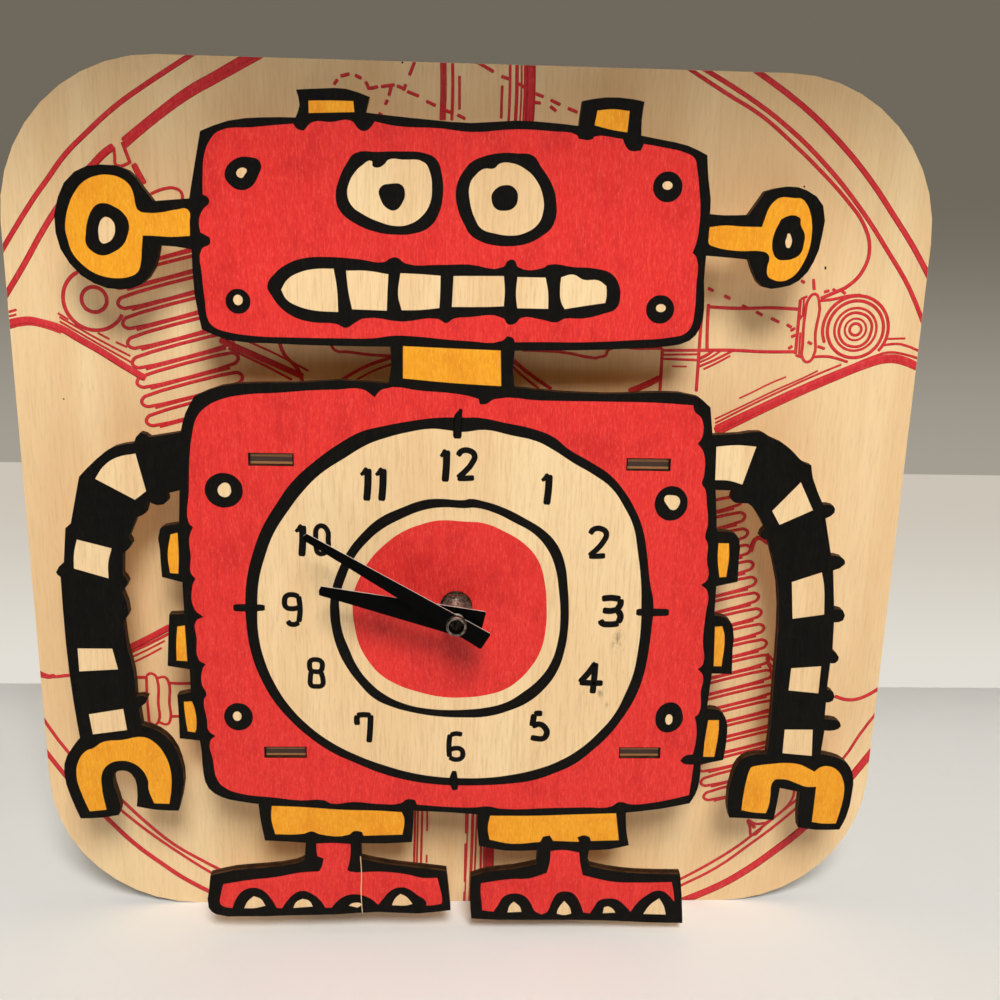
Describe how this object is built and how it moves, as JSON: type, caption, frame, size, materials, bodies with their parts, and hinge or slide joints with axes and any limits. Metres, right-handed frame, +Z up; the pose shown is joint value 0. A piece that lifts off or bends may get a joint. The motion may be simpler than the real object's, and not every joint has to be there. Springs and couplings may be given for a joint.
{
  "type": "wall clock",
  "caption": "Plywood wall clock shaped as a toy robot: the dial is on its chest, with a battery movement between the robot and a rounded back panel.",
  "frame": {"origin": "where a wall hook bears in the top of the hanging keyhole, on the back panel's rear face", "axes": "+Z up, +Y from the dial towards the wall, +X to the right seen from the front"},
  "size_m": [0.292, 0.041, 0.29],
  "materials": {
    "panel_wood": "pale birch plywood, printed line drawing, satin",
    "printed_wood": "birch plywood printed red, yellow and black, laser-cut edges, satin",
    "spacer_wood": "raw birch plywood with charred edges",
    "case_plastic": "moulded black plastic",
    "bushing_brass": "dulled, machined",
    "washer_rubber": "soft matte",
    "hand_black": "painted matte black",
    "gear_plastic": "natural moulded acetal",
    "steel": "plain",
    "copper_wire": "enamelled copper wire",
    "board_green": "lacquered circuit board",
    "chip_resin": "resin drop",
    "battery_skin": "printed foil jacket"
  },
  "bodies": {
    "clock": {"back_panel": "panel_wood", "robot_front": "printed_wood", "upper_spacer": "spacer_wood", "lower_spacer": "spacer_wood", "movement_case": "case_plastic", "movement_cover": "case_plastic", "threaded_bushing": "bushing_brass", "rubber_washer": "washer_rubber", "flat_washer": "bushing_brass", "hex_nut": "bushing_brass", "stator": "steel", "coil_core": "steel", "coil_bobbin": "gear_plastic", "coil_winding": "copper_wire", "circuit_board": "board_green", "clock_chip": "chip_resin", "quartz_crystal": "steel", "positive_contact": "steel", "negative_contact": "steel"},
    "minute_hand_body": {"minute_arbor": "steel", "minute_hand": "hand_black", "minute_hand_nut": "bushing_brass"},
    "hour_hand_body": {"hour_wheel": "gear_plastic", "hour_hand": "hand_black"},
    "minute_wheel_body": {"minute_wheel": "gear_plastic"},
    "setting_knob_body": {"setting_knob": "gear_plastic"},
    "centre_wheel_body": {"centre_wheel": "gear_plastic"},
    "third_wheel_body": {"third_wheel": "gear_plastic"},
    "fourth_wheel_body": {"fourth_wheel": "gear_plastic"},
    "fifth_wheel_body": {"fifth_wheel": "gear_plastic"},
    "rotor_body": {"rotor": "steel"},
    "battery_body": {"battery": "battery_skin"}
  },
  "joints": [
    {"name": "minute_hand_turn", "type": "hinge", "parent": "clock", "child": "minute_hand_body", "pos_m": [-0.0043, -0.0384, -0.1263], "axis": [0, 1, 0], "continuous": true},
    {"name": "hour_hand_turn", "type": "hinge", "parent": "clock", "child": "hour_hand_body", "pos_m": [-0.0043, -0.0356, -0.1263], "axis": [0, 1, 0], "continuous": true},
    {"name": "minute_wheel_turn", "type": "hinge", "parent": "clock", "child": "minute_wheel_body", "pos_m": [0.00472, -0.013, -0.12302], "axis": [0, 1, 0], "continuous": true},
    {"name": "setting_knob_turn", "type": "hinge", "parent": "clock", "child": "setting_knob_body", "pos_m": [0.01418, -0.0012, -0.12468], "axis": [0, 1, 0], "continuous": true},
    {"name": "rotor_turn", "type": "hinge", "parent": "clock", "child": "rotor_body", "pos_m": [0.00901, -0.0107, -0.1085], "axis": [0, 1, 0], "continuous": true},
    {"name": "fifth_wheel_turn", "type": "hinge", "parent": "clock", "child": "fifth_wheel_body", "pos_m": [0.00309, -0.0078, -0.11066], "axis": [0, 1, 0], "continuous": true},
    {"name": "fourth_wheel_turn", "type": "hinge", "parent": "clock", "child": "fourth_wheel_body", "pos_m": [-0.00339, -0.009, -0.11066], "axis": [0, 1, 0], "continuous": true},
    {"name": "third_wheel_turn", "type": "hinge", "parent": "clock", "child": "third_wheel_body", "pos_m": [-0.00744, -0.0103, -0.11767], "axis": [0, 1, 0], "continuous": true},
    {"name": "centre_wheel_turn", "type": "hinge", "parent": "clock", "child": "centre_wheel_body", "pos_m": [-0.0043, -0.0116, -0.1263], "axis": [0, 1, 0], "continuous": true},
    {"name": "battery_out", "type": "slide", "parent": "clock", "child": "battery_body", "axis": [0, 1, 0], "range_m": [0, 0.03]}
  ],
  "couplings": [
    {"joint": "hour_hand_turn", "follows": "minute_hand_turn", "ratio": 0.083333},
    {"joint": "minute_wheel_turn", "follows": "minute_hand_turn", "ratio": -0.33333},
    {"joint": "setting_knob_turn", "follows": "minute_hand_turn", "ratio": 1},
    {"joint": "fifth_wheel_turn", "follows": "rotor_turn", "ratio": -0.16667},
    {"joint": "fourth_wheel_turn", "follows": "rotor_turn", "ratio": 0.033333},
    {"joint": "third_wheel_turn", "follows": "rotor_turn", "ratio": -0.0041667},
    {"joint": "centre_wheel_turn", "follows": "rotor_turn", "ratio": 0.00055556}
  ]
}
